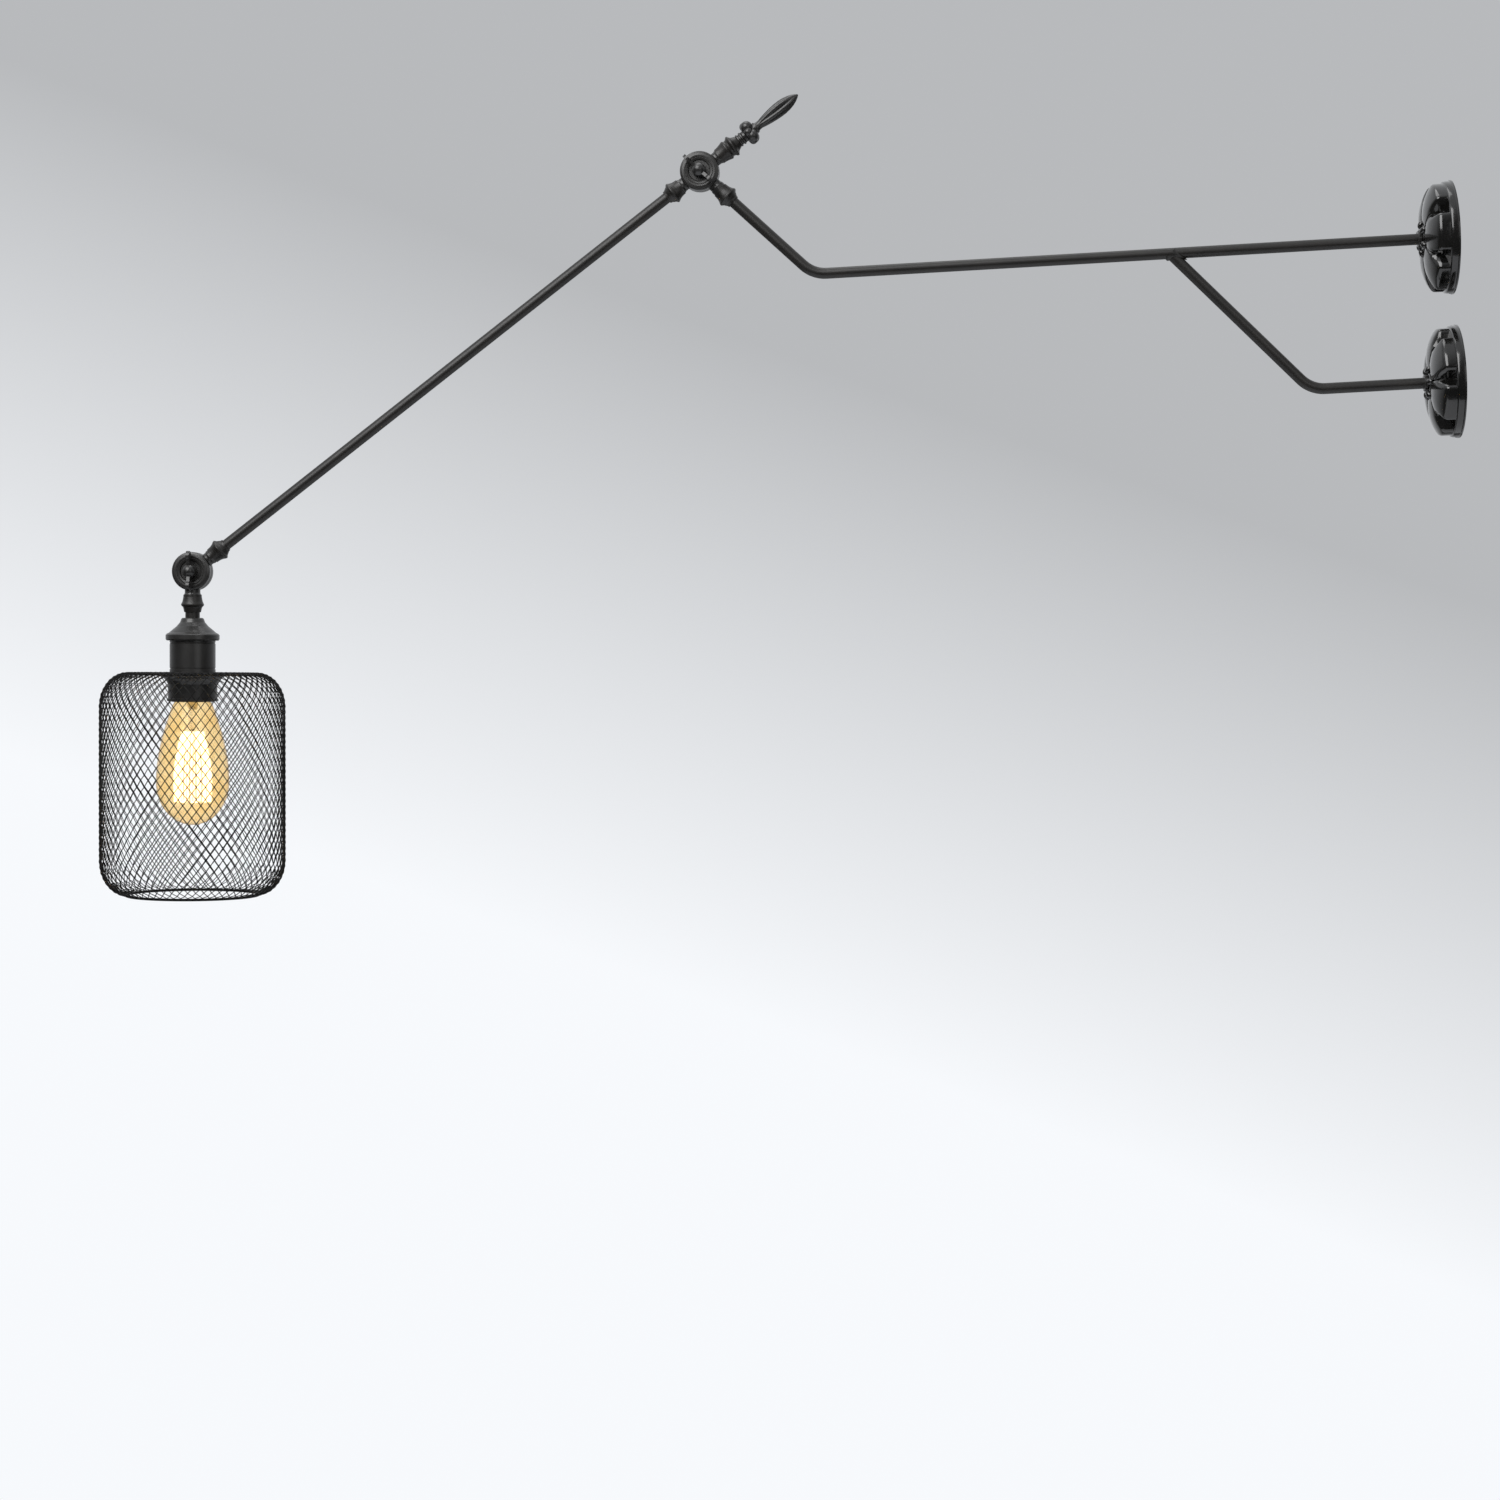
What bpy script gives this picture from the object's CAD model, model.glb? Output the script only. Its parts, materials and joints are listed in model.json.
"""Braced wall sconce: two rosette canopies, a black tube arm, a fluted finial and a wire mesh shade."""
import json
import math

import bmesh
import bpy
from mathutils import Matrix, Vector


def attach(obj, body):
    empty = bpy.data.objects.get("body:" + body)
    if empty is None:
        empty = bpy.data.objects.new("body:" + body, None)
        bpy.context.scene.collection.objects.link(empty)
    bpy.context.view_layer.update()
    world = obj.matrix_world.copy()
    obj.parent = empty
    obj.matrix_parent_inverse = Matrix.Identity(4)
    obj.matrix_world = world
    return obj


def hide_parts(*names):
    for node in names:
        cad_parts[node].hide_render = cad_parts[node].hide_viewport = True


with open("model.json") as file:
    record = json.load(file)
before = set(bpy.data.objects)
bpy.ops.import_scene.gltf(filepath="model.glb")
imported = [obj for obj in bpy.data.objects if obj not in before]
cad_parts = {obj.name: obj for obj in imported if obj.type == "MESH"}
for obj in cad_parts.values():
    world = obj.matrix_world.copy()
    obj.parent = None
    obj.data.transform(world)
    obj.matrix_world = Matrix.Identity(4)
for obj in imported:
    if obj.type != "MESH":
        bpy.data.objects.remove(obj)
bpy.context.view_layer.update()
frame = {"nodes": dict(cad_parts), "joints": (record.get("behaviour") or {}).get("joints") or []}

MM = 0.001
TAU = 2 * math.pi


# ---------------------------------------------------------------- finishes

EDGE_WEAR = 0.5 * MM
EDGE_WEAR_SHARE = 0.35


def linear(code):
    """An sRGB hex colour as the linear colour that the shaders take."""
    channels = [int(code[i:i + 2], 16) / 255 for i in (1, 3, 5)]
    return (*[c / 12.92 if c <= 0.04045 else ((c + 0.055) / 1.055) ** 2.4 for c in channels], 1)


def add(tree, kind, links=None, **settings):
    """Adds a node with its settings; links gives a socket a value or joins it to another socket."""
    made = tree.nodes.new(kind)
    for name, value in settings.items():
        setattr(made, name, value)
    for socket, value in (links or {}).items():
        if isinstance(value, bpy.types.NodeSocket):
            tree.links.new(value, made.inputs[socket])
        else:
            made.inputs[socket].default_value = value
    return made


def rubbed(tree, colour, edge):
    """The colour with its sharp edges rubbed towards the edge's colour."""
    soft = add(tree, "ShaderNodeBevel", {"Radius": EDGE_WEAR}, samples=4)
    flat = add(tree, "ShaderNodeNewGeometry")
    turn = add(tree, "ShaderNodeVectorMath",
               {0: soft.outputs["Normal"], 1: flat.outputs["Normal"]}, operation="DOT_PRODUCT")
    rub = add(tree, "ShaderNodeMapRange",
              {"Value": turn.outputs["Value"], "From Min": 0.99, "From Max": 0.80,
               "To Max": EDGE_WEAR_SHARE})
    return add(tree, "ShaderNodeMixRGB", {"Fac": rub.outputs["Result"],
                                          "Color1": colour.outputs["Color"],
                                          "Color2": linear(edge)})


def finish(name, tones, *, tone_mm, grain_mm, relief_mm, rough, edge=None, shader=None):
    """A finish: its tone drifts between two colours over tone_mm, its skin has grains of grain_mm
    that stand relief_mm high and run through the two values of rough, and its edges, where edge is
    given, are rubbed to that colour. The shader's other sockets are set from shader."""
    made = bpy.data.materials.new(name)
    made.use_nodes = True
    tree = made.node_tree
    tree.nodes.clear()
    here = add(tree, "ShaderNodeTexCoord").outputs["Object"]
    drift = add(tree, "ShaderNodeTexNoise",
                {"Vector": here, "Scale": 1 / (tone_mm * MM), "Detail": 4.0, "Roughness": 0.6})
    grain = add(tree, "ShaderNodeTexNoise",
                {"Vector": here, "Scale": 1 / (grain_mm * MM), "Detail": 2.0, "Roughness": 0.5})
    share = add(tree, "ShaderNodeMapRange",
                {"Value": drift.outputs["Fac"], "From Min": 0.35, "From Max": 0.65})
    colour = add(tree, "ShaderNodeMixRGB", {"Fac": share.outputs["Result"],
                                            "Color1": linear(tones[0]), "Color2": linear(tones[1])})
    if edge:
        colour = rubbed(tree, colour, edge)
    gloss = add(tree, "ShaderNodeMapRange",
                {"Value": grain.outputs["Fac"], "From Min": 0.3, "From Max": 0.7,
                 "To Min": rough[0], "To Max": rough[1]})
    relief = add(tree, "ShaderNodeBump",
                 {"Height": grain.outputs["Fac"], "Distance": relief_mm * MM})
    skin = add(tree, "ShaderNodeBsdfPrincipled",
               {"Base Color": colour.outputs["Color"], "Roughness": gloss.outputs["Result"],
                "Normal": relief.outputs["Normal"], **(shader or {})})
    add(tree, "ShaderNodeOutputMaterial", {"Surface": skin.outputs["BSDF"]})
    return made


FINISHES = {
    # Satin powder coat over zinc castings: soft black, with a fine grain of 1.2 mm, broad soft
    # highlights, and edges where the coat thins to a dark grey.
    "black_paint": finish(
        "satin_black_powder_coat", ("#191817", "#232221"),
        tone_mm=16, grain_mm=1.2, relief_mm=0.001, rough=(0.36, 0.40), edge="#45423f",
        shader={"Specular IOR Level": 0.6, "Coat Weight": 0.3, "Coat Roughness": 0.22}),
    # Baked lacquer on drawn steel tube: warm brown-black, a little duller than the castings.
    "bronze_black_paint": finish(
        "bronze_black_lacquer", ("#110f0d", "#1a1714"),
        tone_mm=30, grain_mm=1.4, relief_mm=0.002, rough=(0.40, 0.50), edge="#403a34",
        shader={"Specular IOR Level": 0.5, "Coat Weight": 0.15, "Coat Roughness": 0.3}),
    # Powder coat on thin wire, where it pools and looks blacker.
    "mesh_paint": finish(
        "black_powder_coat_on_wire", ("#030303", "#070707"),
        tone_mm=9, grain_mm=0.6, relief_mm=0.004, rough=(0.45, 0.55),
        shader={"Specular IOR Level": 0.18}),
    # Bright zinc plate: pale grey, very slightly blue, with a faint cloud.
    "zinc_plate": finish(
        "zinc_plated_steel", ("#a9adb0", "#c3c6c6"),
        tone_mm=6, grain_mm=0.4, relief_mm=0.004, rough=(0.28, 0.42), shader={"Metallic": 1.0}),
    # Turned brass: warm yellow with a fine grain.
    "brass": finish(
        "turned_brass", ("#b08d4c", "#c9a765"),
        tone_mm=3, grain_mm=0.25, relief_mm=0.004, rough=(0.22, 0.38), shader={"Metallic": 1.0}),
    # Nickel plate on a pressed bulb cap.
    "nickel_base": finish(
        "nickel_plated_cap", ("#a8a39a", "#c6c1b8"),
        tone_mm=4, grain_mm=0.3, relief_mm=0.004, rough=(0.2, 0.34), shader={"Metallic": 1.0}),
    # Moulded nylon of the terminal block.
    "white_plastic": finish(
        "moulded_nylon", ("#dcdad2", "#e9e7df"),
        tone_mm=7, grain_mm=0.5, relief_mm=0.01, rough=(0.45, 0.58),
        shader={"Subsurface Weight": 0.05}),
    # Soft PVC of the lead and the bush.
    "black_plastic": finish(
        "soft_pvc", ("#121212", "#1b1b1b"),
        tone_mm=8, grain_mm=0.5, relief_mm=0.01, rough=(0.45, 0.6)),
    # Coloured PVC of the three wires.
    "green_plastic": finish(
        "green_core_pvc", ("#2f7d3a", "#3d8f49"),
        tone_mm=5, grain_mm=0.4, relief_mm=0.005, rough=(0.38, 0.5)),
    "brown_plastic": finish(
        "brown_core_pvc", ("#5c3a22", "#6d472c"),
        tone_mm=5, grain_mm=0.4, relief_mm=0.005, rough=(0.38, 0.5)),
    "blue_plastic": finish(
        "blue_core_pvc", ("#275a9c", "#336bb0"),
        tone_mm=5, grain_mm=0.4, relief_mm=0.005, rough=(0.38, 0.5)),
    # Vulcanised fibre: dull red-brown, with a coarse skin.
    "fibre_washer": finish(
        "vulcanised_fibre", ("#3a241b", "#4a3024"),
        tone_mm=4, grain_mm=0.3, relief_mm=0.02, rough=(0.7, 0.85)),
    # Glazed porcelain of the lampholder.
    "porcelain": finish(
        "glazed_porcelain", ("#e8e4da", "#f2efe8"),
        tone_mm=12, grain_mm=1.5, relief_mm=0.008, rough=(0.12, 0.2),
        shader={"Coat Weight": 0.4, "Coat Roughness": 0.08}),
    # Blown glass with an amber lustre: honey coloured, with a weak glow of its own that stands for
    # the filament's light in the coating.
    "amber_glass": finish(
        "amber_lustre_glass", ("#fdeac0", "#fff5dc"),
        tone_mm=25, grain_mm=6, relief_mm=0.02, rough=(0.13, 0.19),
        shader={"Transmission Weight": 1.0, "IOR": 1.3,
                "Emission Color": linear("#ffd27e"), "Emission Strength": 0.07}),
    # Drawn clear glass of the stem.
    "clear_glass": finish(
        "drawn_clear_glass", ("#f4f0e6", "#ffffff"),
        tone_mm=9, grain_mm=2, relief_mm=0.01, rough=(0.0, 0.05),
        shader={"Transmission Weight": 1.0, "IOR": 1.5}),
    # Carbon thread at full heat.
    "glowing_filament": finish(
        "glowing_carbon_thread", ("#ffb347", "#ffd27a"),
        tone_mm=4, grain_mm=0.3, relief_mm=0.01, rough=(0.6, 0.8),
        shader={"Emission Color": linear("#fff3da"), "Emission Strength": 3.0}),
}

# Wet-sprayed black enamel on the two rosettes, glossier than the powder coat.
CANOPY_ENAMEL = finish(
    "gloss_black_enamel", ("#0c0c0b", "#141312"),
    tone_mm=14, grain_mm=2.0, relief_mm=0.004, rough=(0.14, 0.22), edge="#2a2826",
    shader={"Specular IOR Level": 0.55, "Coat Weight": 0.5, "Coat Roughness": 0.06})

# Matt paint on the floor.
FLOOR_PAINT = finish(
    "pale_matt_floor", ("#e6e7e9", "#e6e7e9"),
    tone_mm=400, grain_mm=3, relief_mm=0.05, rough=(0.8, 0.9), shader={"Specular IOR Level": 0.2})

for cad_node in frame["nodes"].values():
    for place in cad_node.material_slots:
        place.material = FINISHES[place.material.name.split(".")[0]]


# ---------------------------------------------------------------- making pieces

def facing(point, direction):
    """A frame at a point, in metres, with its Z along direction and its Y as near to +Y as can be."""
    z = Vector(direction).normalized()
    x = Vector((0, 1, 0)).cross(z).normalized()
    return Matrix.Translation(point) @ Matrix((x, z.cross(x), z)).transposed().to_4x4()


def piece(name, shape, place, body, slot, node, crease=32, skin=None):
    """Puts a finished shape, in millimetres, at its place, where it stands for a CAD node. Edges
    sharper than crease degrees stay sharp. Its finish is its slot's, or skin."""
    bmesh.ops.remove_doubles(shape, verts=shape.verts, dist=0.001)
    bmesh.ops.recalc_face_normals(shape, faces=shape.faces)
    shape.transform(place @ Matrix.Scale(MM, 4))
    mesh = bpy.data.meshes.new(name)
    shape.to_mesh(mesh)
    shape.free()
    mesh.shade_smooth()
    mesh.set_sharp_from_angle(angle=math.radians(crease))
    mesh.materials.append(skin or FINISHES[slot])
    made = bpy.data.objects.new(name, mesh)
    bpy.context.scene.collection.objects.link(made)
    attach(made, body)
    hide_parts(node)


def turned(profile, steps=64, closed=False):
    """A turned shape from its profile, a list of (radius, height) in millimetres."""
    shape = bmesh.new()
    points = [shape.verts.new((r, 0, z)) for r, z in profile]
    pairs = list(zip(points, points[1:])) + ([(points[-1], points[0])] if closed else [])
    for pair in pairs:
        shape.edges.new(pair)
    bmesh.ops.spin(shape, geom=shape.verts[:] + shape.edges[:], cent=(0, 0, 0), axis=(0, 0, 1),
                   angle=TAU, steps=steps, use_merge=True)
    bmesh.ops.remove_doubles(shape, verts=shape.verts, dist=0.001)
    return shape


def wire(path, radius, roundness=1):
    """Wire with closed ends along a path of points, in millimetres. Roundness 0 gives it the
    fewest sides."""
    curve = bpy.data.curves.new("wire", "CURVE")
    curve.dimensions = "3D"
    curve.bevel_depth = radius
    curve.bevel_resolution = roundness
    curve.use_fill_caps = True
    spline = curve.splines.new("POLY")
    spline.points.add(len(path) - 1)
    for point, at in zip(spline.points, path):
        point.co = (*at, 1)
    drawn = bpy.data.objects.new("wire", curve)
    mesh = bpy.data.meshes.new_from_object(drawn)
    shape = bmesh.new()
    shape.from_mesh(mesh)
    bpy.data.objects.remove(drawn)
    bpy.data.curves.remove(curve)
    bpy.data.meshes.remove(mesh)
    return shape


def join(*shapes):
    """All the shapes as one."""
    mesh = bpy.data.meshes.new("joined")
    whole = bmesh.new()
    for shape in shapes:
        bmesh.ops.recalc_face_normals(shape, faces=shape.faces)
        shape.to_mesh(mesh)
        whole.from_mesh(mesh)
        shape.free()
    bpy.data.meshes.remove(mesh)
    return whole


def round_copies(shape, count):
    """Repeats a shape count times round Z."""
    bmesh.ops.spin(shape, geom=shape.verts[:] + shape.edges[:] + shape.faces[:], cent=(0, 0, 0),
                   axis=(0, 0, 1), angle=TAU * (count - 1) / count, steps=count - 1,
                   use_duplicate=True)
    return shape


def rotated(shape, angle, axis):
    """The shape turned about the origin by an angle in radians."""
    bmesh.ops.rotate(shape, verts=shape.verts, cent=(0, 0, 0), matrix=Matrix.Rotation(angle, 3, axis))
    return shape


JOINTS = {joint["name"]: joint for joint in frame["joints"]}
ELBOW = Vector(JOINTS["elbow_tilt"]["pos_m"])
HEAD = Vector(JOINTS["head_tilt"]["pos_m"])
# The lamp's pieces are drawn with Z down the socket from the head's pin, and the finial's with Z
# out of the forearm's elbow end.
LAMP = facing(HEAD, JOINTS["shade_ring_turn"]["axis"])
FINIAL = facing(ELBOW, ELBOW - HEAD)


# ---------------------------------------------------------------- the shade's wire cage

# Depth of the shade's seat, and from there to the middle of the strands at the hub
SEAT, STRAND_DEPTH = 89, 0.7
# Radius of the strands at the hub, the mouth and the side, and the height of the cage and of each
# of its two rounded shoulders
HUB_R, MOUTH_R, SIDE_R = 28.5, 57.2, 80.7
SHADE_H, SHOULDER_H = 196, 30
# Strands that lean each way, the radius of each, and how far it bows in and out to pass the others
STRANDS = 66
MESH_WIRE_R = 0.43
WEAVE = 0.36
# Distance down the cage from one crossing to the next, over the distance round it
LEAN = 1.37


def cage_outline():
    """Radius and depth of the cage, from the hub over the shoulder and down to the mouth."""
    arcs = [math.radians(a) for a in range(0, 91, 3)]
    shoulder = [(MOUTH_R + (SIDE_R - MOUTH_R) * math.sin(a), SHOULDER_H * (1 - math.cos(a)))
                for a in arcs]
    return [(HUB_R, 0)] + shoulder + [(r, SHADE_H - z) for r, z in reversed(shoulder)]


def crossings():
    """Where a strand meets the others. The steps shrink with the radius, as the cells do."""
    path = [Vector(point) for point in cage_outline()]
    here, found = path[0].copy(), [path[0].copy()]
    for ahead in path[1:]:
        while True:
            step = LEAN * here.x * math.pi / STRANDS
            gap = (ahead - here).length
            if gap < step:
                break
            here = here + (ahead - here) * (step / gap)
            found.append(here.copy())
    return found + [path[-1]]


def strands(side):
    """The strands that lean to one side, 1 or -1, each passing over and under the others."""
    path = crossings()
    points = []
    for k, point in enumerate(path):
        along = (path[min(k + 1, len(path) - 1)] - path[max(k - 1, 0)]).normalized()
        r, z = point + Vector((along.y, -along.x)) * WEAVE * side * (-1) ** k
        turn = side * k * math.pi / STRANDS
        points.append((r * math.cos(turn), r * math.sin(turn), SEAT + STRAND_DEPTH + z))
    return round_copies(wire(points, MESH_WIRE_R, roundness=0), STRANDS)


piece("wire_cage", join(strands(1), strands(-1)), LAMP, "lamp_head", "mesh_paint", "shade_mesh",
      crease=60)


# ---------------------------------------------------------------- bulb

# Depth of the glass's foot and of its crown, its radius at the belly and the neck, and its wall
GLASS_FOOT, GLASS_END = 106, 224
BELLY_R, NECK_R, GLASS_T = 32, 13.3, 0.9
# Where the straight neck ends and where the belly is, as shares of the glass's length
NECK_SHARE, BELLY_SHARE = 0.05, 0.68


def bulb_profile(inset):
    """The pear outline of the glass, from its neck to its crown."""
    long = GLASS_END - GLASS_FOOT
    rise = [(NECK_R + (BELLY_R - NECK_R) * math.sin(math.pi / 2 * t / BELLY_SHARE) - inset,
             GLASS_FOOT + long * t) for t in [0.05 * k for k in range(2, 14)]]
    crown = [((BELLY_R - inset) * math.cos(a),
              GLASS_FOOT + long * BELLY_SHARE + (long * (1 - BELLY_SHARE) - inset) * math.sin(a))
             for a in [math.radians(6 * k) for k in range(15)]]
    neck = [(NECK_R - inset, GLASS_FOOT), (NECK_R - inset, GLASS_FOOT + long * NECK_SHARE)]
    return [*neck, *rise, *crown, (0, GLASS_END - inset)]


piece("bulb_envelope", turned(bulb_profile(0)[::-1] + bulb_profile(GLASS_T)), LAMP, "bulb",
      "amber_glass", "bulb_glass", crease=70)

# The thread runs up and down between hooks at the two ends of the stem, as a long squirrel cage.
# It is thicker than a real one, which would be too fine to show.
LOOPS = 9
HOOK_TOP, HOOK_FOOT = 142, 203
TOP_R, FOOT_R = 9, 15.5
THREAD_BOW, THREAD_R = 3.0, 0.8
THREAD_STEPS = 6


def filament_path():
    """One long zigzag from hook to hook, round the stem."""
    points = []
    for k in range(2 * LOOPS):
        turn = TAU * k / (2 * LOOPS)
        for step in range(THREAD_STEPS + 1):
            share = step / THREAD_STEPS
            down = share if k % 2 == 0 else 1 - share
            r = TOP_R + (FOOT_R - TOP_R) * down + THREAD_BOW * math.sin(math.pi * share)
            z = HOOK_TOP + (HOOK_FOOT - HOOK_TOP) * down
            points.append((r * math.cos(turn), r * math.sin(turn), z))
    return points


piece("glowing_thread", wire(filament_path(), THREAD_R), LAMP, "bulb", "glowing_filament",
      "bulb_filament", crease=60)


# ---------------------------------------------------------------- canopies

UPPER_CANOPY = (0, 0, 0)
LOWER_CANOPY = (0, 0, -0.123)
CANOPY_R, BOSS_H, TUBE_BORE_R = 48.5, 25, 4.8

PETALS = 6
STEPS_PER_PETAL = 40
HALF_PETAL = 180 / PETALS
# Section of a petal along its middle, from the boss over the dome and the square end and back
PETAL_LINE = [(11.5, 19), (11.8, 22.8), (13, 24.3), (15.5, 25.1), (20, 25.3), (25, 24.9), (30, 24.0),
              (35, 22.5), (39, 20.8), (42.4, 18.9), (44.6, 17.3), (45.6, 15.9), (45.9, 14.2),
              (46, 7), (44, 5.8), (13, 12)]
# Height below which a petal keeps its shape
PETAL_BASE = 6
# The corners change from this radius on, fully after this distance more
CORNER_FROM, CORNER_OVER = 30, 13
# Share of the radius that a corner draws back, and how far across the petal that starts
DRAW_BACK, DRAW_BACK_FROM = 0.22, 0.6
# Shares of the height that a petal loses: across its whole width, at the seam and at its corners
CROWN_DROP, SEAM_DROP, CORNER_DROP = 0.07, 0.12, 0.16

BEAD_SIZE = (4.0, 2.9, 2.5)
BEAD_TILT = 0.5
BEAD_PLACE = (12.4, 0, 25.2)


def rosette_plate():
    """The cast plate: a lip at the wall, a rounded rim, a shallow cone and the boss in its middle."""
    face = [(CANOPY_R, 0), (CANOPY_R, 1.1), (47.7, 1.7), (47.6, 5.4), (47.2, 6.6), (46.2, 7.4),
            (45, 7.7), (43.8, 7.9), (34, 11.6), (24, 14.6), (16, 18), (14.2, 20.6), (13.2, 23),
            (12.2, 24.3), (10.6, BOSS_H), (TUBE_BORE_R, BOSS_H)]
    back = [(TUBE_BORE_R, 21), (10, 20.6), (13, 16), (22, 10.6), (40, 4.8), (45.6, 3.2), (46, 0)]
    return turned(face + back, steps=96, closed=True)


def smooth_step(value):
    """Rises softly from 0 to 1."""
    value = min(1, max(0, value))
    return value * value * (3 - 2 * value)


def petals():
    """Broad petals side by side, with a thin seam between each two. Their ends are square, and
    their corners draw back from the rim and leave a three-cornered piece of the plate bare."""
    shape = turned(PETAL_LINE, steps=STEPS_PER_PETAL * PETALS, closed=True)
    for vert in shape.verts:
        x, y, z = vert.co
        angle = math.degrees(math.atan2(y, x))
        across = abs((angle + HALF_PETAL) % (2 * HALF_PETAL) - HALF_PETAL) / HALF_PETAL
        outer = smooth_step((math.hypot(x, y) - CORNER_FROM) / CORNER_OVER)
        corner = smooth_step((across - DRAW_BACK_FROM) / (1 - DRAW_BACK_FROM))
        reach = 1 - DRAW_BACK * outer * corner
        full = (1 - CROWN_DROP * across ** 2 - SEAM_DROP * across ** 30
                - CORNER_DROP * outer * across ** 5)
        vert.co = (x * reach, y * reach, PETAL_BASE + (z - PETAL_BASE) * full)
    return shape


def bead():
    """A small rolled leaf tip beside the ring nut."""
    shape = bmesh.new()
    bmesh.ops.create_uvsphere(shape, u_segments=16, v_segments=12, radius=1)
    bmesh.ops.scale(shape, verts=shape.verts, vec=BEAD_SIZE)
    rotated(shape, BEAD_TILT, "Y")
    bmesh.ops.translate(shape, verts=shape.verts, vec=BEAD_PLACE)
    return shape


def rosette(name, centre, turn, node):
    """A whole canopy, with its petals turned by an angle in degrees and a bead at each seam."""
    beads = rotated(round_copies(bead(), PETALS), math.radians(HALF_PETAL), "Z")
    leaves = rotated(join(petals(), beads), math.radians(turn), "Z")
    piece(name, join(rosette_plate(), leaves), facing(centre, (-1, 0, 0)), "bracket", "black_paint",
          node, skin=CANOPY_ENAMEL)


rosette("upper_rosette", UPPER_CANOPY, HALF_PETAL, "upper_canopy")
rosette("lower_rosette", LOWER_CANOPY, 0, "lower_canopy")


# ---------------------------------------------------------------- finial

# Profile of the spear: its foot, a waist, the bud and the tip, from the elbow's pin
SPEAR = [(0, 62.05), (4.3, 62.05), (3.7, 64.0), (3.7, 66.2), (4.4, 69.5), (5.3, 74.5), (6.1, 80.5),
         (6.5, 86), (6.5, 90), (6.0, 94.8), (5.0, 99.2), (3.6, 102.8), (2.0, 105.6), (0.7, 107.3),
         (0, 107.6)]
FLUTES, FLUTE_DEPTH = 6, 0.34
FLUTES_FROM, FLUTES_LONG = 64, 44
STEPS_PER_FLUTE = 12


def fluted_spear():
    """A bud with sharp flutes that die out at its foot and its tip."""
    shape = turned(SPEAR, steps=STEPS_PER_FLUTE * FLUTES)
    for vert in shape.verts:
        x, y, z = vert.co
        share = math.sin(math.pi * min(1, max(0, (z - FLUTES_FROM) / FLUTES_LONG)))
        hollow = 1 - abs(math.cos(FLUTES / 2 * math.atan2(y, x)))
        keep = 1 - FLUTE_DEPTH * share * hollow
        vert.co = (x * keep, y * keep, z)
    return shape


piece("fluted_spear", fluted_spear(), FINIAL, "forearm", "black_paint", "finial_spear", crease=24)


# ---------------------------------------------------------------- floor, light and camera

MIDDLE = (-0.6, 0, -0.15)
FLOOR_MIDDLE, FLOOR_REACH = (-0.6, 0, -1.9), 1.9
CAMERA_PLACE = (-0.4485, -2.613, -0.337)
YAW, PITCH, ROLL = (math.radians(a) for a in (-3.8, -1.6, -2.8))
LENS, SENSOR = 72, 36


def lay_floor():
    """A pale square floor, far below the lamp."""
    shape = bmesh.new()
    bmesh.ops.create_grid(shape, x_segments=1, y_segments=1, size=FLOOR_REACH)
    bmesh.ops.translate(shape, verts=shape.verts, vec=FLOOR_MIDDLE)
    mesh = bpy.data.meshes.new("floor")
    shape.to_mesh(mesh)
    shape.free()
    mesh.materials.append(FLOOR_PAINT)
    floor = bpy.data.objects.new("floor", mesh)
    bpy.context.scene.collection.objects.link(floor)


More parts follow.
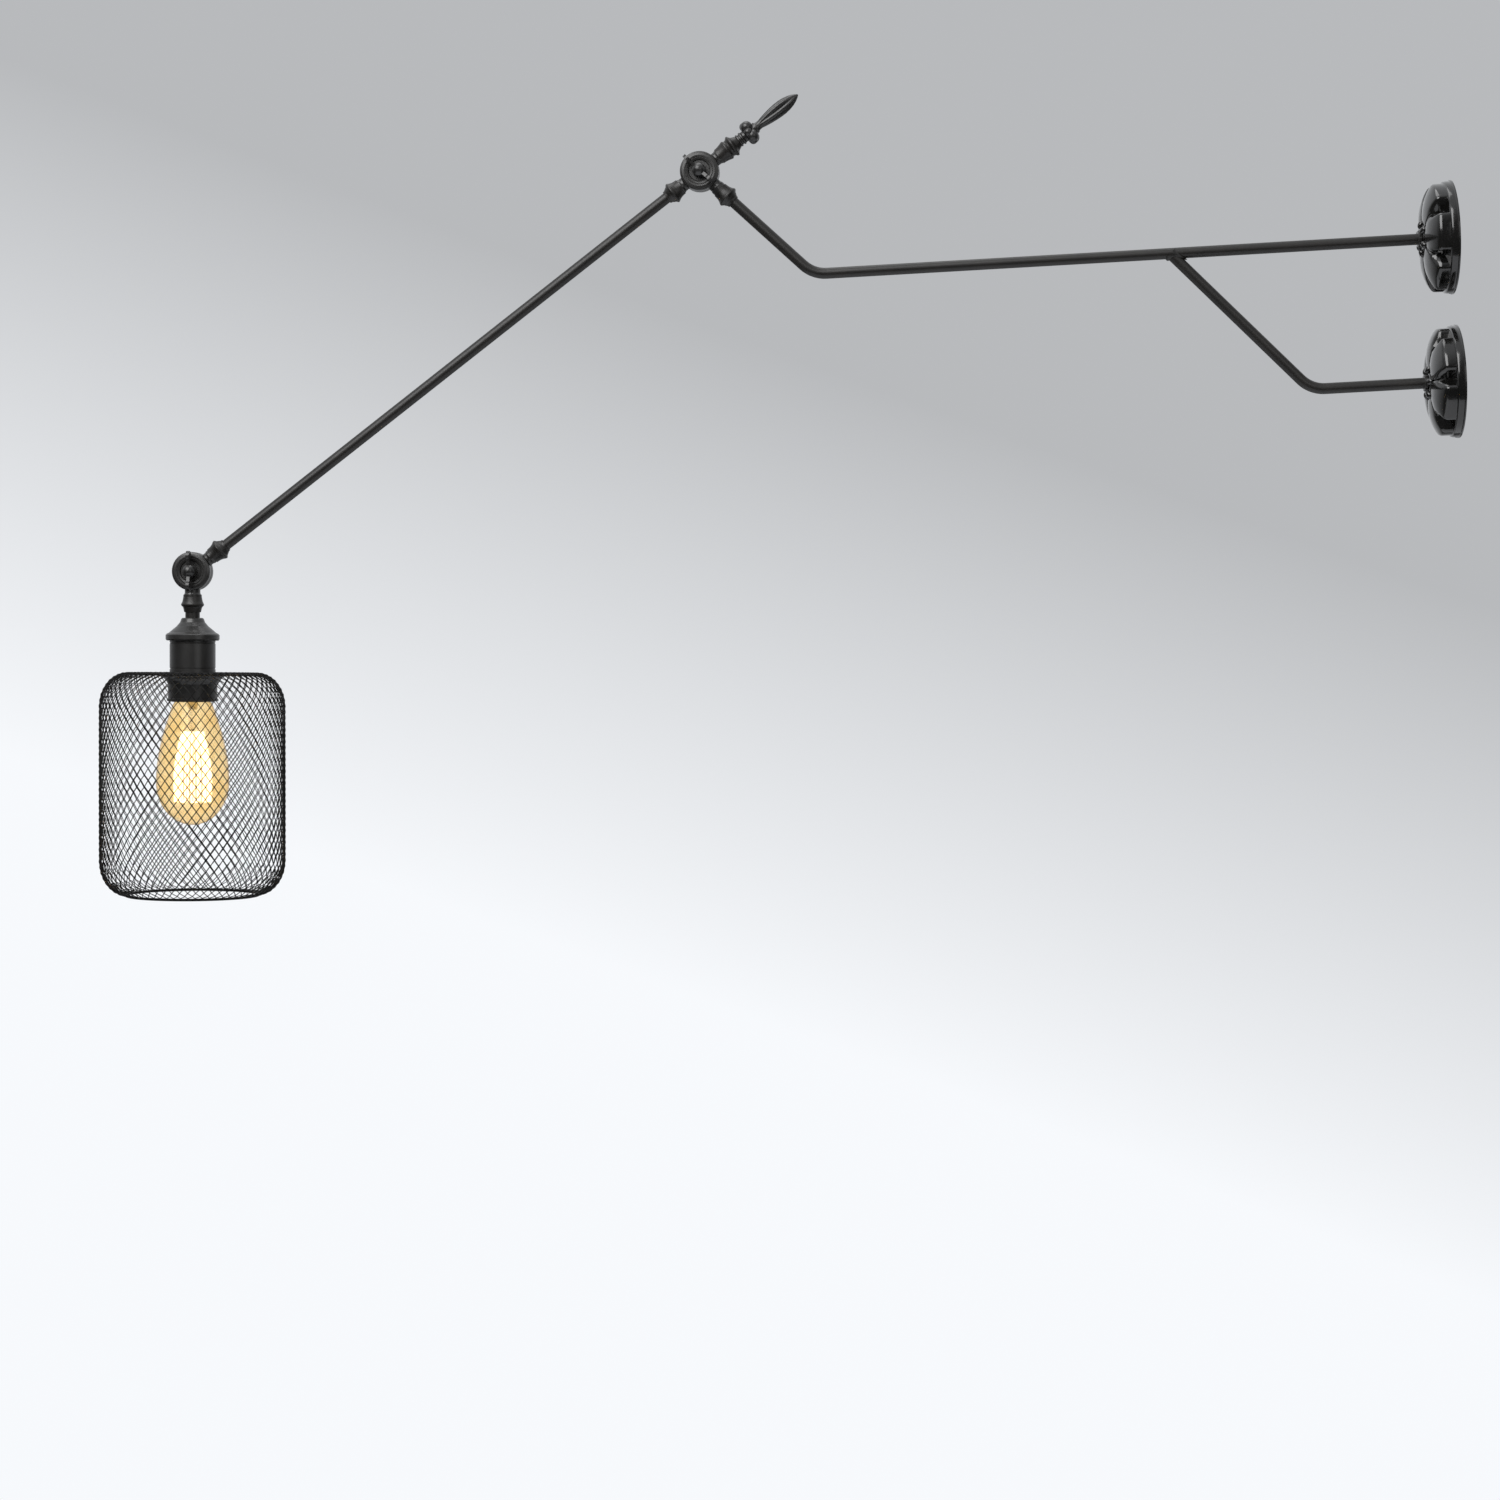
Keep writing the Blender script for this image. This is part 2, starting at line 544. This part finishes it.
def light_room():
    """A pale grey room. As it is seen, it is darker up high and towards the wall. As it lights the
    lamp, it is bright above and behind it, and dark below and in front."""
    world = bpy.data.worlds.new("pale_studio")
    world.use_nodes = True
    tree = world.node_tree
    tree.nodes.clear()
    way = add(tree, "ShaderNodeTexCoord").outputs["Generated"]
    fade = add(tree, "ShaderNodeVectorMath", {0: way, 1: (-1.08, 0, -2.56)},
               operation="DOT_PRODUCT")
    shown = add(tree, "ShaderNodeMapRange",
                {"Value": fade.outputs["Value"], "From Min": -0.21, "From Max": 0.373,
                 "To Min": 0.62, "To Max": 1.2})
    slope = add(tree, "ShaderNodeVectorMath", {0: way, 1: (0, 0.6, 1)}, operation="DOT_PRODUCT")
    glow = add(tree, "ShaderNodeMapRange",
               {"Value": slope.outputs["Value"], "From Min": -0.1, "From Max": 0.6,
                "To Min": 0.08, "To Max": 0.85})
    rays = add(tree, "ShaderNodeLightPath")
    seen = add(tree, "ShaderNodeMath", {0: rays.outputs["Is Camera Ray"],
                                        1: rays.outputs["Is Transmission Ray"]},
               operation="MAXIMUM")
    strength = add(tree, "ShaderNodeMix", {0: seen.outputs[0], 2: glow.outputs["Result"],
                                           3: shown.outputs["Result"]})
    sky = add(tree, "ShaderNodeBackground", {"Color": linear("#e4e6e9"),
                                             "Strength": strength.outputs[0]})
    add(tree, "ShaderNodeOutputWorld", {"Surface": sky.outputs["Background"]})
    bpy.context.scene.world = world
    bpy.context.scene.view_settings.view_transform = "Standard"


def hang_light(name, place, size, watts):
    """A soft square light at a place, in metres, that faces the lamp's middle."""
    light = bpy.data.lights.new(name, "AREA")
    light.size = size
    light.energy = watts
    made = bpy.data.objects.new(name, light)
    bpy.context.scene.collection.objects.link(made)
    made.location = place
    towards = Vector(MIDDLE) - Vector(place)
    made.rotation_euler = towards.to_track_quat("-Z", "Y").to_euler()


def place_camera():
    """A camera straight in front of the lamp, turned by yaw, pitch and roll."""
    ahead = Vector((math.sin(YAW) * math.cos(PITCH), math.cos(YAW) * math.cos(PITCH),
                    math.sin(PITCH)))
    across = Vector((math.cos(YAW), -math.sin(YAW), 0))
    upright = across.cross(ahead)
    right = across * math.cos(ROLL) + upright * math.sin(ROLL)
    up = upright * math.cos(ROLL) - across * math.sin(ROLL)
    data = bpy.data.cameras.new("camera")
    data.lens = LENS
    data.sensor_width = SENSOR
    camera = bpy.data.objects.new("camera", data)
    camera.matrix_world = (Matrix.Translation(CAMERA_PLACE)
                           @ Matrix((right, up, -ahead)).transposed().to_4x4())
    bpy.context.scene.collection.objects.link(camera)
    bpy.context.scene.camera = camera


lay_floor()
light_room()
hang_light("key", (-1.7, -2.2, 1.7), 2.4, 84)
hang_light("fill", (1.2, -2.6, 0.4), 1.8, 11)
hang_light("top", (-0.7, 0.3, 1.9), 1.2, 9)
place_camera()
